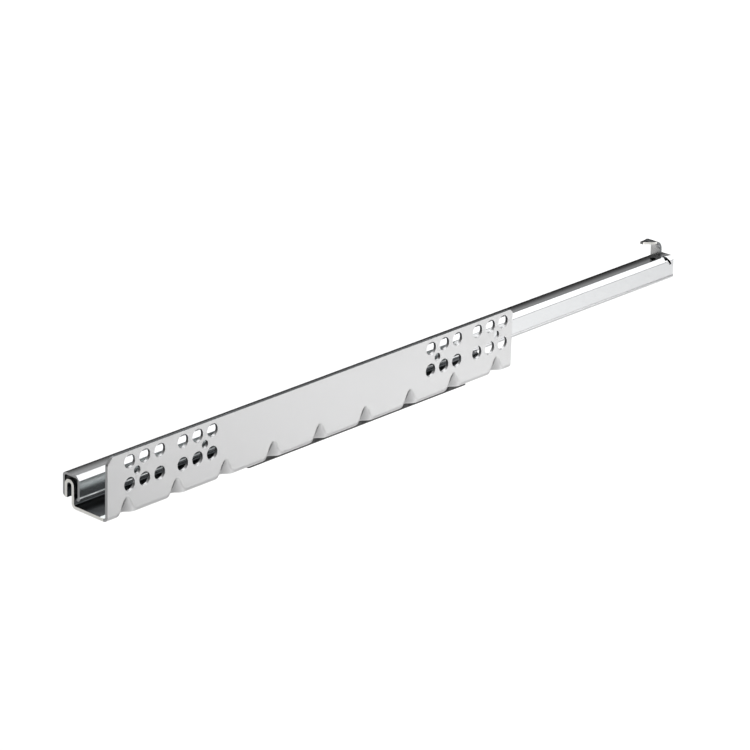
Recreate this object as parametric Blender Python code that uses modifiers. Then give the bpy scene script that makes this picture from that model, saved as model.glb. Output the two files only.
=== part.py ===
"""Concealed under-mount drawer slide: cabinet rail, ball cage, drawer rail and self-closing unit.

The slide's own coordinates are millimetres: x from the front end to the rear, y from the cabinet's
side panel into the cabinet, z up from the underside of the trough. The origin of the part is the
middle of the flange face that is screwed to the cabinet.
"""

import math

import bmesh
import bpy
from mathutils import Matrix, Vector

# ---------------------------------------------------------------- driving dimensions, mm
ORIGIN_X = 130.8
ORIGIN_Z = 20.0

SHEET = 1.5
FLANGE_LENGTH = 261.7
FLANGE_HEIGHT = 30.2
BEND_MID_R = 1.75

TRACK_WALL_Y = 21.95
TRACK_MID_R = 2.15
TRACK_CENTRE_Z = 10.3
TRACK_LEG_BOTTOM = 4.2
TRACK_Y = TRACK_WALL_Y + TRACK_MID_R

HOLE_FIRST_X = 13.1
HOLE_OFFSETS = (0.0, 9.0, 18.0, 32.0, 41.0, 50.0)
HOLE_CLUSTER_PITCH = 192.0
HOLE_ROWS_Z = (14.6, 25.4)
HOLE_R = 3.2
PILOT_OFFSETS = (4.5, 45.5)
PILOT_R = 1.9

DENT_FIRST_X = 11.4
DENT_PITCH = 30.0
DENT_COUNT = 9
DENT_HEIGHT = 8.0
DENT_DEPTH = 3.6
DENT_NOSE_R = 1.6
DENT_HALF_ANGLE = 55.0

RAIL_FRONT_X = 1.0
RAIL_REAR_X = 404.9
RAIL_SHEET = 1.2
RAIL_NEAR_Y = 19.3
RAIL_FAR_Y = 28.7
RAIL_TOP_Z = 14.9
RAIL_CORNER_R = 1.6
RAIL_NEAR_LIP = (20.6, 4.4)
RAIL_FAR_LIP = (27.6, 4.4)
RAIL_LIP_R = 0.9

HOOK_X = 398.0
HOOK_Y = (21.6, 27.7)
HOOK_TOP_Z = 24.3
HOOK_BEND_R = 2.8
HOOK_TIP = (387.4, 25.6, 24.8)
HOOK_TIP_HALF = 0.9

GAP = 0.3
CAGE_X = (154.0, 254.0)
CAGE_LEG_BOTTOM = 6.4
BALLS_PER_ROW = 12
BALL_R = 1.05
BALL_POCKET_R = 1.35

FRONT_STOP_X = (1.6, 8.6)
REAR_STOP_X = (399.6, 403.6)

HOUSING_X = (95.0, 240.8)
HOUSING_Y = (9.0, 20.6)
HOUSING_Z = (-5.3, -0.3)
HOUSING_WALL = 0.8
BAY_X = (103.6, 231.4)
POST_X = (99.3, 235.4)
POST_Y = 13.6
POST_R = 2.0

CATCH_TRAVEL = 40.0
SLIDER_X = (146.0, 186.0)
SLIDER_Y = (10.1, 16.9)
SLIDER_Z = (-4.2, -0.7)
PAWL_PIVOT = (183.0, -2.5)
PAWL_Y = (17.3, 19.3)
TAB_X = 157.5
TAB_Y = (17.4, 18.3)
TAB_BOTTOM = 2.15
DAMPER_YZ = (12.1, -2.5)
DAMPER_R = 1.9
DAMPER_X = (187.2, 230.9)
SPRING_YZ = (15.9, -2.5)
SPRING_X = (186.6, 231.0)

ARC_STEPS = 6
HOLE_STEPS = 24


# ---------------------------------------------------------------- helpers
def at(x, y, z):
    """Slide coordinates in mm to part coordinates in metres."""
    return Vector(((x - ORIGIN_X) / 1000.0, y / 1000.0, (z - ORIGIN_Z) / 1000.0))


def clear_scene():
    for item in list(bpy.data.objects):
        bpy.data.objects.remove(item, do_unlink=True)
    for group in list(bpy.data.collections):
        bpy.data.collections.remove(group)


def make_material(name, color, metallic, roughness):
    material = bpy.data.materials.new(name)
    material.use_nodes = True
    shader = material.node_tree.nodes["Principled BSDF"]
    shader.inputs["Base Color"].default_value = (*color, 1.0)
    shader.inputs["Metallic"].default_value = metallic
    shader.inputs["Roughness"].default_value = roughness
    material.diffuse_color = (*color, 1.0)
    return material


def to_object(bm, name="tool"):
    bmesh.ops.recalc_face_normals(bm, faces=bm.faces)
    mesh = bpy.data.meshes.new(name)
    bm.to_mesh(mesh)
    bm.free()
    item = bpy.data.objects.new(name, mesh)
    bpy.context.scene.collection.objects.link(item)
    return item


def bake(item):
    """Replace an object's mesh by the result of its modifiers."""
    bpy.context.view_layer.update()
    graph = bpy.context.evaluated_depsgraph_get()
    mesh = bpy.data.meshes.new_from_object(item.evaluated_get(graph))
    item.modifiers.clear()
    item.data = mesh


def combine(item, tools, operation):
    """Cut (DIFFERENCE) or add (UNION) each tool, then throw the tools away."""
    for tool in tools:
        step = item.modifiers.new("step", "BOOLEAN")
        step.solver = "EXACT"
        step.operation = operation
        step.object = tool
        bake(item)
        bpy.data.objects.remove(tool, do_unlink=True)
    return item


def merged(tools):
    """Join tools that don't touch into one, so that one Boolean does them all."""
    bm = bmesh.new()
    for tool in tools:
        bm.from_mesh(tool.data)
        bpy.data.objects.remove(tool, do_unlink=True)
    return to_object(bm)


def arc(cx, cy, radius, start, end, steps=ARC_STEPS):
    """Points of an arc, angles in degrees, both ends included."""
    points = []
    for index in range(steps + 1):
        angle = math.radians(start + (end - start) * index / steps)
        points.append((cx + radius * math.cos(angle), cy + radius * math.sin(angle)))
    return points


def fillet_path(corners, radii, steps=ARC_STEPS):
    """Open polyline with its inner corners rounded."""
    points = [Vector(corners[0])]
    for index in range(1, len(corners) - 1):
        corner = Vector(corners[index])
        before = (Vector(corners[index - 1]) - corner).normalized()
        after = (Vector(corners[index + 1]) - corner).normalized()
        half = before.angle(after) / 2.0
        radius = radii[index - 1]
        reach = radius / math.tan(half)
        centre = corner + (before + after).normalized() * (radius / math.sin(half))
        start = corner + before * reach - centre
        turn = (corner + after * reach - centre).angle_signed(start)
        for step in range(steps + 1):
            spin = Matrix.Rotation(turn * step / steps, 2)
            points.append(centre + spin @ start)
    points.append(Vector(corners[-1]))
    return [(point.x, point.y) for point in points]


def prism(outline, low, high, along):
    """Outline in the other two axes (in x, y, z order) extruded along one axis."""
    bm = bmesh.new()
    place = {
        "x": lambda p, q, s: at(s, p, q),
        "y": lambda p, q, s: at(p, s, q),
        "z": lambda p, q, s: at(p, q, s),
    }[along]
    face = bm.faces.new([bm.verts.new(place(p, q, low)) for p, q in outline])
    grown = bmesh.ops.extrude_face_region(bm, geom=[face])
    rise = place(0.0, 0.0, high) - place(0.0, 0.0, low)
    verts = [part for part in grown["geom"] if isinstance(part, bmesh.types.BMVert)]
    bmesh.ops.translate(bm, verts=verts, vec=rise)
    return to_object(bm)


def box(x, y, z):
    return prism([(y[0], z[0]), (y[1], z[0]), (y[1], z[1]), (y[0], z[1])], x[0], x[1], "x")


def rod(centre, radius, low, high, along, steps=HOLE_STEPS):
    return prism(arc(*centre, radius, 0.0, 360.0, steps)[:-1], low, high, along)


def folded_sheet(path, low, high, thickness, along="x"):
    """Open path extruded along an axis and given the sheet's thickness, half to each side."""
    bm = bmesh.new()
    if along == "x":
        rows = [[bm.verts.new(at(s, p, q)) for p, q in path] for s in (low, high)]
    else:
        rows = [[bm.verts.new(at(p, s, q)) for p, q in path] for s in (low, high)]
    for index in range(len(path) - 1):
        bm.faces.new((rows[0][index], rows[0][index + 1], rows[1][index + 1], rows[1][index]))
    item = to_object(bm)
    solid = item.modifiers.new("sheet", "SOLIDIFY")
    solid.thickness = thickness / 1000.0
    solid.offset = 0.0
    solid.use_even_offset = True
    bake(item)
    return item


def finish(item, name, material, collection):
    bm = bmesh.new()
    bm.from_mesh(item.data)
    bmesh.ops.remove_doubles(bm, verts=bm.verts, dist=1e-6)
    bmesh.ops.dissolve_limit(bm, angle_limit=math.radians(0.05), verts=bm.verts, edges=bm.edges)
    bmesh.ops.triangulate(bm, faces=bm.faces)
    bmesh.ops.recalc_face_normals(bm, faces=bm.faces)
    bm.to_mesh(item.data)
    bm.free()
    item.name = name
    item.data.name = name
    item.data.materials.clear()
    item.data.materials.append(material)
    bpy.context.scene.collection.objects.unlink(item)
    collection.objects.link(item)
    return item


# ---------------------------------------------------------------- the cabinet rail
def corner_tool(x, z, size, radius, side):
    """Tool that takes a corner off the flange's top, its two new corners rounded."""
    inward = -side * size
    outline = fillet_path(
        [(x, z - size - 1.0), (x, z - size), (x + inward, z), (x + inward - side, z)], [radius, radius], 4
    )
    outline = [(x + side, z - size - 1.0)] + outline + [(x + inward - side, z + 1.0), (x + side, z + 1.0)]
    return prism(outline, -1.0, SHEET + 1.0, "y")


def dart(centre, sink):
    """V-shaped punch, nose rounded, across the bend of flange and floor; sink moves it inwards."""
    run = Vector((-DENT_DEPTH, DENT_HEIGHT)).normalized()
    out = Vector((-run.y, run.x))
    nose = arc(0.0, 0.0, DENT_NOSE_R, DENT_HALF_ANGLE, 180.0 - DENT_HALF_ANGLE, 6)
    lean = math.radians(DENT_HALF_ANGLE)
    reach = 9.0
    side = (nose[0][0] + reach * math.sin(lean), nose[0][1] - reach * math.cos(lean))
    outline = nose + [(-side[0], side[1]), side]
    bm = bmesh.new()
    rows = []
    for along in (-12.0, 12.0):
        row = []
        for p, q in outline:
            depth = q - DENT_NOSE_R + sink
            y = DENT_DEPTH + run.x * along - out.x * depth
            z = run.y * along - out.y * depth
            row.append(bm.verts.new(at(centre + p, y, z)))
        rows.append(row)
    bm.faces.new(rows[0])
    bm.faces.new(rows[1])
    count = len(outline)
    for index in range(count):
        other = (index + 1) % count
        bm.faces.new((rows[0][index], rows[0][other], rows[1][other], rows[1][index]))
    return to_object(bm)


def cabinet_rail():
    path = fillet_path(
        [(SHEET / 2, FLANGE_HEIGHT), (SHEET / 2, SHEET / 2), (TRACK_WALL_Y, SHEET / 2), (TRACK_WALL_Y, 8.0)],
        [BEND_MID_R, BEND_MID_R],
    )
    path[-1:] = arc(TRACK_Y, TRACK_CENTRE_Z, TRACK_MID_R, 180.0, 0.0, 2 * ARC_STEPS)
    path.append((TRACK_WALL_Y + 2 * TRACK_MID_R, TRACK_LEG_BOTTOM))
    rail = folded_sheet(path, 0.0, FLANGE_LENGTH, SHEET)

    centres = [DENT_FIRST_X + DENT_PITCH * index for index in range(DENT_COUNT)]
    ribs = merged([dart(x, SHEET * 0.8) for x in centres])
    inside = box((0.5, FLANGE_LENGTH - 0.5), (SHEET / 2, 12.0), (SHEET / 2, 14.0))
    combine(ribs, [inside], "INTERSECT")
    combine(rail, [ribs], "UNION")
    combine(rail, [merged([dart(x, 0.0) for x in centres])], "DIFFERENCE")

    holes = []
    for cluster in (0.0, HOLE_CLUSTER_PITCH):
        for row in HOLE_ROWS_Z:
            for offset in HOLE_OFFSETS:
                centre = (HOLE_FIRST_X + cluster + offset, row)
                holes.append(rod(centre, HOLE_R, -1.0, SHEET + 1.0, "y"))
        for offset in PILOT_OFFSETS:
            centre = (HOLE_FIRST_X + cluster + offset, sum(HOLE_ROWS_Z) / 2)
            holes.append(rod(centre, PILOT_R, -1.0, SHEET + 1.0, "y", 16))
    slot_front = TAB_X - 4.5 - CATCH_TRAVEL
    holes.append(box((slot_front, TAB_X + 4.5), (PAWL_Y[0] - 0.4, PAWL_Y[1] + 0.4), (-1.0, SHEET + 0.6)))
    for x in POST_X:
        holes.append(rod((x, POST_Y), POST_R + GAP, -1.0, SHEET + 0.6, "z"))
    holes.append(corner_tool(0.0, FLANGE_HEIGHT, 3.2, 1.6, -1))
    holes.append(corner_tool(FLANGE_LENGTH, FLANGE_HEIGHT, 1.7, 1.4, 1))
    return combine(rail, [merged(holes)], "DIFFERENCE")


# ---------------------------------------------------------------- the drawer rail
def hook_tongue():
    """Tongue that stands on the rail's top, bends forward and narrows to its tip."""
    tip_x, tip_y, tip_z = HOOK_TIP
    path = fillet_path(
        [(HOOK_X, RAIL_TOP_Z), (HOOK_X, HOOK_TOP_Z), (tip_x + 4.0, HOOK_TOP_Z), (tip_x, tip_z)],
        [HOOK_BEND_R, 6.0],
    )
    tongue = folded_sheet(path, *HOOK_Y, RAIL_SHEET, "y")
    tools = []
    for side, edge in ((-1, HOOK_Y[0]), (1, HOOK_Y[1])):
        outline = [
            (HOOK_X - HOOK_BEND_R, edge),
            (HOOK_X - HOOK_BEND_R, edge + side * 2.0),
            (tip_x - 2.0, edge + side * 2.0),
            (tip_x - 2.0, tip_y + side * HOOK_TIP_HALF),
            (tip_x + 1.0, tip_y + side * HOOK_TIP_HALF),
        ]
        tools.append(prism(outline, HOOK_TOP_Z - 4.0, HOOK_TOP_Z + 2.0, "z"))
    combine(tongue, [merged(tools)], "DIFFERENCE")
    low = RAIL_TOP_Z
    flare = [(HOOK_Y[0] - 1.2, low), (HOOK_Y[0] + 1.0, low), (HOOK_Y[0] + 1.0, low + 5.0), (HOOK_Y[0] + 0.05, low + 4.0)]
    flare.append((HOOK_Y[0] - 0.2, low + 2.2))
    half = RAIL_SHEET / 2
    return combine(tongue, [prism(flare, HOOK_X - half, HOOK_X + half, "x")], "UNION")


def drawer_rail():
    path = fillet_path(
        [
            RAIL_NEAR_LIP,
            (RAIL_NEAR_Y, RAIL_NEAR_LIP[1]),
            (RAIL_NEAR_Y, RAIL_TOP_Z),
            (RAIL_FAR_Y, RAIL_TOP_Z),
            (RAIL_FAR_Y, RAIL_FAR_LIP[1]),
            RAIL_FAR_LIP,
        ],
        [RAIL_LIP_R, RAIL_CORNER_R, RAIL_CORNER_R, RAIL_LIP_R],
    )
    rail = folded_sheet(path, RAIL_FRONT_X, RAIL_REAR_X, RAIL_SHEET)
    combine(rail, [hook_tongue()], "UNION")
    relief = prism([(391.4, 21.4), (397.2, 21.4), (397.2, 27.2), (394.6, 27.2)], 13.0, 17.0, "z")
    slit = prism([(398.9, 16.6), (399.9, 16.6), (403.0, 11.7), (401.9, 11.7)], 17.0, 20.6, "y")
    rivet = rod((TAB_X, 10.0), 1.0 + GAP, 17.0, 20.6, "y", 16)
    return combine(rail, [merged([relief, slit, rivet])], "DIFFERENCE")


# ---------------------------------------------------------------- cage, balls and stops
def guide_outline():
    """Section between the ball track and the inside of the drawer rail, clear of both."""
    outer_r = RAIL_CORNER_R - RAIL_SHEET / 2 + 0.2
    near = RAIL_NEAR_Y + RAIL_SHEET / 2 + GAP
    far = RAIL_FAR_Y - RAIL_SHEET / 2 - GAP
    top = RAIL_TOP_Z - RAIL_SHEET / 2 - GAP
    inner_r = TRACK_MID_R + SHEET / 2 + GAP
    outline = [(near, CAGE_LEG_BOTTOM)]
    outline += arc(near + outer_r, top - outer_r, outer_r, 180.0, 90.0)
    outline += arc(far - outer_r, top - outer_r, outer_r, 90.0, 0.0)
    outline += [(far, CAGE_LEG_BOTTOM), (TRACK_Y + inner_r, CAGE_LEG_BOTTOM)]
    outline += arc(TRACK_Y, TRACK_CENTRE_Z, inner_r, 0.0, 180.0, 2 * ARC_STEPS)
    outline += [(TRACK_Y - inner_r, CAGE_LEG_BOTTOM)]
    return outline


def ball_places():
    """Ball centres, on the lines from the track's crown to the rail's two upper corners."""
    corner_r = RAIL_CORNER_R - RAIL_SHEET / 2
    crown_r = TRACK_MID_R + SHEET / 2
    rise = RAIL_TOP_Z - RAIL_SHEET / 2 - corner_r - TRACK_CENTRE_Z
    margin = 4.0
    pitch = (CAGE_X[1] - CAGE_X[0] - 2 * margin) / (BALLS_PER_ROW - 1)
    places = []
    for row, wall, side in (("near", RAIL_NEAR_Y, 1.0), ("far", RAIL_FAR_Y, -1.0)):
        corner = Vector((wall + side * (RAIL_SHEET / 2 + corner_r) - TRACK_Y, rise))
        offset = corner.normalized() * (crown_r + corner.length + corner_r) / 2
        for index in range(BALLS_PER_ROW):
            spot = (CAGE_X[0] + margin + pitch * index, TRACK_Y + offset.x, TRACK_CENTRE_Z + offset.y)
            places.append((f"ball_{row}_{index + 1:02d}", spot, offset))
    return places


def ball_cage():
    cage = prism(guide_outline(), *CAGE_X, "x")
    pockets = []
    for _, spot, outward in ball_places():
        bm = bmesh.new()
        turn = Vector((0.0, outward.x, outward.y)).to_track_quat("Z", "Y").to_matrix().to_4x4()
        bmesh.ops.create_cone(
            bm,
            cap_ends=True,
            segments=12,
            radius1=BALL_POCKET_R / 1000.0,
            radius2=BALL_POCKET_R / 1000.0,
            depth=0.004,
            matrix=Matrix.Translation(at(*spot)) @ turn,
        )
        pockets.append(to_object(bm))
    return combine(cage, [merged(pockets)], "DIFFERENCE")


def ball(spot):
    bm = bmesh.new()
    bmesh.ops.create_uvsphere(
        bm, u_segments=12, v_segments=8, radius=BALL_R / 1000.0, matrix=Matrix.Translation(at(*spot))
    )
    return to_object(bm)


# ---------------------------------------------------------------- the self-closing unit
def closer_housing():
    tray = box(HOUSING_X, HOUSING_Y, HOUSING_Z)
    inner_y = (HOUSING_Y[0] + HOUSING_WALL, HOUSING_Y[1] - HOUSING_WALL)
    bay = box(BAY_X, inner_y, (HOUSING_Z[0] + HOUSING_WALL, HOUSING_Z[1] + 1.0))
    combine(tray, [bay], "DIFFERENCE")
    posts = []
    for x in POST_X:
        posts.append(rod((x, POST_Y), POST_R, HOUSING_Z[1] - 0.5, SHEET + 0.5, "z", 16))
    combine(tray, [merged(posts)], "UNION")
    heads = [rod((x, POST_Y), POST_R + 0.8, SHEET + GAP, SHEET + 1.0, "z", 16) for x in POST_X]
    return combine(tray, [merged(heads)], "UNION")


def catch_slider():
    (front, rear), (low, high) = SLIDER_X, SLIDER_Z
    outline = [(front + 1.0, low), (rear, low), (rear, high), (front + 1.0, high), (front, high - 1.0)]
    outline.append((front, low + 1.0))
    block = prism(outline, *SLIDER_Y, "y")
    x, z = PAWL_PIVOT
    tools = [
        rod((x, z), 0.75 + GAP, SLIDER_Y[1] - 4.3, SLIDER_Y[1] + 1.0, "y", 16),
        box((front + 5.0, rear - 12.0), (SLIDER_Y[0] + 1.6, SLIDER_Y[1] - 1.6), (-2.6, 0.0)),
    ]
    combine(block, [merged(tools)], "DIFFERENCE")
    return combine(block, [rod(DAMPER_YZ, 0.7 + GAP, rear - 3.3, rear + 1.0, "x", 16)], "DIFFERENCE")


def catch_pawl():
    """Lever with two horns that stand on either side of the tab when it is raised."""
    x, z = PAWL_PIVOT
    tail = arc(x, z, 1.7, -90.0, 90.0)
    outline = [(TAB_X - 4.0, z - 1.3)] + [(x - 4.0, z - 1.3)] + tail + [(x - 4.0, z + 1.0)]
    outline += [
        (TAB_X + 3.7, z + 1.0),
        (TAB_X + 3.7, 1.2),
        (TAB_X + 3.1, 1.75),
        (TAB_X + 1.6, 1.75),
        (TAB_X + 1.6, 0.2),
        (TAB_X - 1.6, 0.2),
        (TAB_X - 1.6, 1.6),
        (TAB_X - 3.2, 1.6),
        (TAB_X - 4.0, 0.9),
    ]
    lever = prism(outline, *PAWL_Y, "y")
    hole = rod((x, z), 0.75 + 0.05, PAWL_Y[0] - 1.0, PAWL_Y[1] + 1.0, "y", 16)
    return combine(lever, [hole], "DIFFERENCE")


def pull_spring():
    """Tension spring: a helix with a straight leg on its axis at each end."""
    y, z = SPRING_YZ
    coil_r, wire_r, turns, per_turn = 1.15, 0.22, 26, 10
    low, high = SPRING_X[0] + 3.0, SPRING_X[1] - 3.0
    points = [(SPRING_X[0], y, z), (SPRING_X[0] + 2.0, y, z)]
    for index in range(turns * per_turn + 1):
        angle = 2.0 * math.pi * index / per_turn
        along = low + (high - low) * index / (turns * per_turn)
        points.append((along, y + coil_r * math.cos(angle), z + coil_r * math.sin(angle)))
    points += [(SPRING_X[1] - 2.0, y, z), (SPRING_X[1], y, z)]
    data = bpy.data.curves.new("spring", "CURVE")
    data.dimensions = "3D"
    data.bevel_depth = wire_r / 1000.0
    data.bevel_resolution = 1
    data.use_fill_caps = True
    line = data.splines.new("POLY")
    line.points.add(len(points) - 1)
    for vertex, point in zip(line.points, points):
        vertex.co = (*at(*point), 1.0)
    curve = bpy.data.objects.new("spring", data)
    bpy.context.scene.collection.objects.link(curve)
    bpy.context.view_layer.update()
    graph = bpy.context.evaluated_depsgraph_get()
    mesh = bpy.data.meshes.new_from_object(curve.evaluated_get(graph))
    bpy.data.objects.remove(curve, do_unlink=True)
    bm = bmesh.new()
    bm.from_mesh(mesh)
    bmesh.ops.remove_doubles(bm, verts=bm.verts, dist=1e-6)
    bmesh.ops.holes_fill(bm, edges=[edge for edge in bm.edges if edge.is_boundary])
    return to_object(bm)


def activator_tab():
    """Flat tab beside the rail's near wall, with a narrow nose that reaches down to the catch."""
    outline = [
        (TAB_X - 1.1, TAB_BOTTOM),
        (TAB_X + 1.1, TAB_BOTTOM),
        (TAB_X + 1.1, 5.0),
        (TAB_X + 5.0, 7.0),
        (TAB_X + 5.0, 12.6),
        (TAB_X - 5.0, 12.6),
        (TAB_X - 5.0, 7.0),
        (TAB_X - 1.1, 5.0),
    ]
    tab = prism(outline, *TAB_Y, "y")
    return combine(tab, [rod((TAB_X, 10.0), 1.0 + GAP, 16.0, 20.0, "y", 16)], "DIFFERENCE")


def activator_rivet():
    shank = rod((TAB_X, 10.0), 1.0, TAB_Y[0] - 0.5, 19.6, "y", 16)
    head = rod((TAB_X, 10.0), 1.8, TAB_Y[0] - 0.9, TAB_Y[0] - 0.3, "y", 16)
    return combine(shank, [head], "UNION")


# ---------------------------------------------------------------- assembly
def main():
    clear_scene()
    parts = bpy.data.collections.new("drawer_slide")
    bpy.context.scene.collection.children.link(parts)
    zinc = (0.72, 0.73, 0.74)
    black = (0.02, 0.02, 0.022)

    def add(name, item, color, metallic, roughness):
        finish(item, name, make_material(name, color, metallic, roughness), parts)

    add("cabinet_rail", cabinet_rail(), zinc, 1.0, 0.35)
    add("drawer_rail", drawer_rail(), zinc, 1.0, 0.32)
    add("front_stop", prism(guide_outline(), *FRONT_STOP_X, "x"), black, 0.0, 0.5)
    add("rear_stop", prism(guide_outline(), *REAR_STOP_X, "x"), black, 0.0, 0.5)
    add("ball_cage", ball_cage(), (0.5, 0.5, 0.48), 0.0, 0.5)
    for name, spot, _ in ball_places():
        add(name, ball(spot), (0.8, 0.8, 0.82), 1.0, 0.1)
    add("closer_housing", closer_housing(), black, 0.0, 0.5)
    add("catch_slider", catch_slider(), (0.55, 0.56, 0.58), 0.0, 0.5)
    add("catch_pawl", catch_pawl(), (0.05, 0.05, 0.055), 0.0, 0.45)
    pin = rod(PAWL_PIVOT, 0.75, SLIDER_Y[1] - 4.0, PAWL_Y[1], "y", 16)
    add("pawl_pin", pin, (0.8, 0.8, 0.82), 1.0, 0.2)
    bore = rod(DAMPER_YZ, 1.0, DAMPER_X[0] - 1.0, DAMPER_X[1] - 1.0, "x", 16)
    cylinder = combine(rod(DAMPER_YZ, DAMPER_R, *DAMPER_X, "x", 20), [bore], "DIFFERENCE")
    add("damper_cylinder", cylinder, (0.6, 0.61, 0.62), 0.0, 0.4)
    plunger = rod(DAMPER_YZ, 0.7, SLIDER_X[1] - 3.0, DAMPER_X[1] - 1.4, "x", 16)
    add("damper_rod", plunger, (0.75, 0.75, 0.77), 1.0, 0.2)
    add("pull_spring", pull_spring(), (0.7, 0.7, 0.72), 1.0, 0.3)
    add("activator_tab", activator_tab(), zinc, 1.0, 0.35)
    add("activator_rivet", activator_rivet(), zinc, 1.0, 0.3)


main()
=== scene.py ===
"""Looks of the concealed drawer slide: finer sheets, moulded and turned pieces, materials, light, camera.

The slide's own coordinates are millimetres, as in the CAD: x from the front end to the rear, y from
the cabinet's side panel into the cabinet, z up from the underside of the trough.
"""

import math

import bmesh
import bpy
from mathutils import Matrix, Quaternion, Vector


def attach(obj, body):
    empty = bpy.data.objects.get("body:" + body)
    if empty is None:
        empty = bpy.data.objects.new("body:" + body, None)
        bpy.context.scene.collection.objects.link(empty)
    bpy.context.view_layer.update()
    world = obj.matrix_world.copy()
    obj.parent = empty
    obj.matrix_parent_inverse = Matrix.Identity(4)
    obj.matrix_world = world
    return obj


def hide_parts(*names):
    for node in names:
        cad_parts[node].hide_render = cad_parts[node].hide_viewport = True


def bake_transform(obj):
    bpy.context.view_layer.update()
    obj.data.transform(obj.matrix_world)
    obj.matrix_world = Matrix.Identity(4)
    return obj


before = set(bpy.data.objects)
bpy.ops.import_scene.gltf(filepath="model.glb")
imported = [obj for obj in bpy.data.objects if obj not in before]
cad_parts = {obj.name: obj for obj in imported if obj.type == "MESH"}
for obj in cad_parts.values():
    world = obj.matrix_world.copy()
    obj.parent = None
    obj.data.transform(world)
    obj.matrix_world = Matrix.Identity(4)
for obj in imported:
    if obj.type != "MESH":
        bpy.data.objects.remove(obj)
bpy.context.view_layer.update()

# ---------------------------------------------------------------- dimensions, mm
# The frame's origin in the slide's coordinates; y starts at the cabinet's side panel in both.
ORIGIN_X = 130.8
ORIGIN_Z = 20.0

# Cabinet rail: flange, trough floor and hook-shaped ball track, bent from one sheet.
SHEET = 1.5
FLANGE_LENGTH = 261.7
FLANGE_HEIGHT = 30.2
FLANGE_FLAT_Z = 10.4
FLANGE_CORNERS = ((0.0, -1, 3.2, 1.6), (FLANGE_LENGTH, 1, 1.7, 1.4))  # x, side, size, radius
FLOOR_FLAT_Y = 9.5
BEND_R = 1.75
TRACK_WALL_Y = 21.95
TRACK_R = 2.15
TRACK_CENTRE_Z = 10.3
TRACK_LEG_BOTTOM = 4.2
TRACK_Y = TRACK_WALL_Y + TRACK_R

# Its screw holes: two clusters, each with two rows of large holes and two small ones between them.
HOLE_FIRST_X = 13.1
HOLE_OFFSETS = (0.0, 9.0, 18.0, 32.0, 41.0, 50.0)
HOLE_CLUSTER_PITCH = 192.0
HOLE_ROWS_Z = (14.6, 25.4)
HOLE_R = 3.2
PILOT_OFFSETS = (4.5, 45.5)
PILOT_R = 1.9
HOLE_EASE = 0.14

# The darts pressed into the flange's foot.
DART_FIRST_X = 11.4
DART_PITCH = 30.0
DART_COUNT = 9
DART_HEIGHT = 8.8
DART_DEPTH = 3.6
DART_NOSE_R = 4.0
DART_HALF_ANGLE = 50.0
DART_BLEND = 1.0
DART_STEP = 0.25
DART_STEPS = 30
DART_MARK_HALF = 6.6

# Drawer rail: inverted U with turned-in lips, its middle line's corners rounded.
RAIL_X = (1.0, 404.9)
RAIL_SHEET = 1.2
RAIL_NEAR_Y = 19.3
RAIL_FAR_Y = 28.7
RAIL_TOP_Z = 14.9
RAIL_CORNER_R = 1.6
RAIL_FAR_CORNER = 1.8
RAIL_FALL = 0.34
RAIL_FALL_WIDTH = 4.4
RAIL_FALL_R = 62.0
RAIL_CHAMFER = 2.0
RAIL_BEAD = 0.35
RAIL_LIP_Z = 4.4
RAIL_LIP_Y = (20.6, 27.6)
RAIL_LIP_R = 0.9

# Its hook, and the cuts beside the hook: two seen from above (x, y) and one from the side (x, z).
HOOK_X = 398.0
HOOK_Y = (21.6, 27.7)
HOOK_TOP_Z = 24.3
HOOK_BEND_R = 4.6
HOOK_TIP = (387.4, 25.6, 24.8)
HOOK_TIP_HALF = 0.9
RELIEF = ((391.4, 21.4), (394.4, 21.4), (395.8, 23.6), (393.6, 25.2))
SLIT = ((398.8, 16.6), (400.3, 16.6), (403.4, 11.5), (401.9, 11.5))
SLIT_OVER_TOP = ((400.3, 18.0), (400.3, 21.6), (399.3, 22.4), (398.8, 18.0))

# Cage, balls and stops, all between the ball track and the drawer rail.
GAP = 0.3
CAGE_X = (154.0, 254.0)
CAGE_LEG_BOTTOM = 6.4
BALLS_PER_ROW = 12
BALL_R = 1.05
BALL_MARGIN = 4.0
BALL_FLAT = 0.985
BALL_POCKET_R = 1.3
BALL_POCKET_DEPTH = 4.0
FRONT_STOP_X = (1.6, 8.6)
REAR_STOP_X = (399.6, 403.6)

# Self-closing unit under the trough's floor, and the tab on the drawer rail that it holds.
HOUSING_X = (95.0, 240.8)
HOUSING_Y = (9.0, 20.6)
HOUSING_Z = (-5.3, -0.3)
HOUSING_WALL = 0.8
HOUSING_CORNER_R = 1.2
BAY_X = (103.6, 231.4)
RECESS_COUNT = 8
RECESS_PITCH = 15.6
RECESS_LENGTH = 12.4
POST_X = (99.3, 235.4)
POST_Y = 13.6
POST_R = 2.0
CATCH_TRAVEL = 40.0
SLOT_END = 4.5
SLIDER_X = (146.0, 186.0)
SLIDER_Y = (10.1, 16.9)
SLIDER_Z = (-4.2, -0.7)
PAWL_PIVOT = (183.0, -2.5)
PAWL_Y = (17.3, 19.3)
PIN_R = 0.75
TAB_X = 157.5
TAB_Y = (17.4, 18.3)
TAB_BOTTOM = 2.15
RIVET_R = 1.0
RIVET_Z = 10.0
DAMPER_YZ = (12.1, -2.5)
DAMPER_R = 1.9
DAMPER_BORE_R = 1.0
DAMPER_X = (187.2, 230.9)
PLUNGER_R = 0.7
SPRING_YZ = (15.9, -2.5)
SPRING_X = (186.6, 231.0)
SPRING_COIL_R = 1.15
SPRING_WIRE_R = 0.22
SPRING_TURNS = 52
SPRING_STEPS = 24

# Places of the materials in the lists of the two rails. The two cut-edge places hold a copy of the sheared
# edge with painted light and one with painted shade; the dark place holds painted shade; on the cabinet rail
# the inner place holds painted light and the dart place painted shade. The drawer rail's hook takes INNER's
# place.
PLAIN, CUT_PAINTED_LIGHT, RUBBED, CUT_PAINTED_SHADE, PAINTED_SHADE, INNER, DARTED = range(7)

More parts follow.
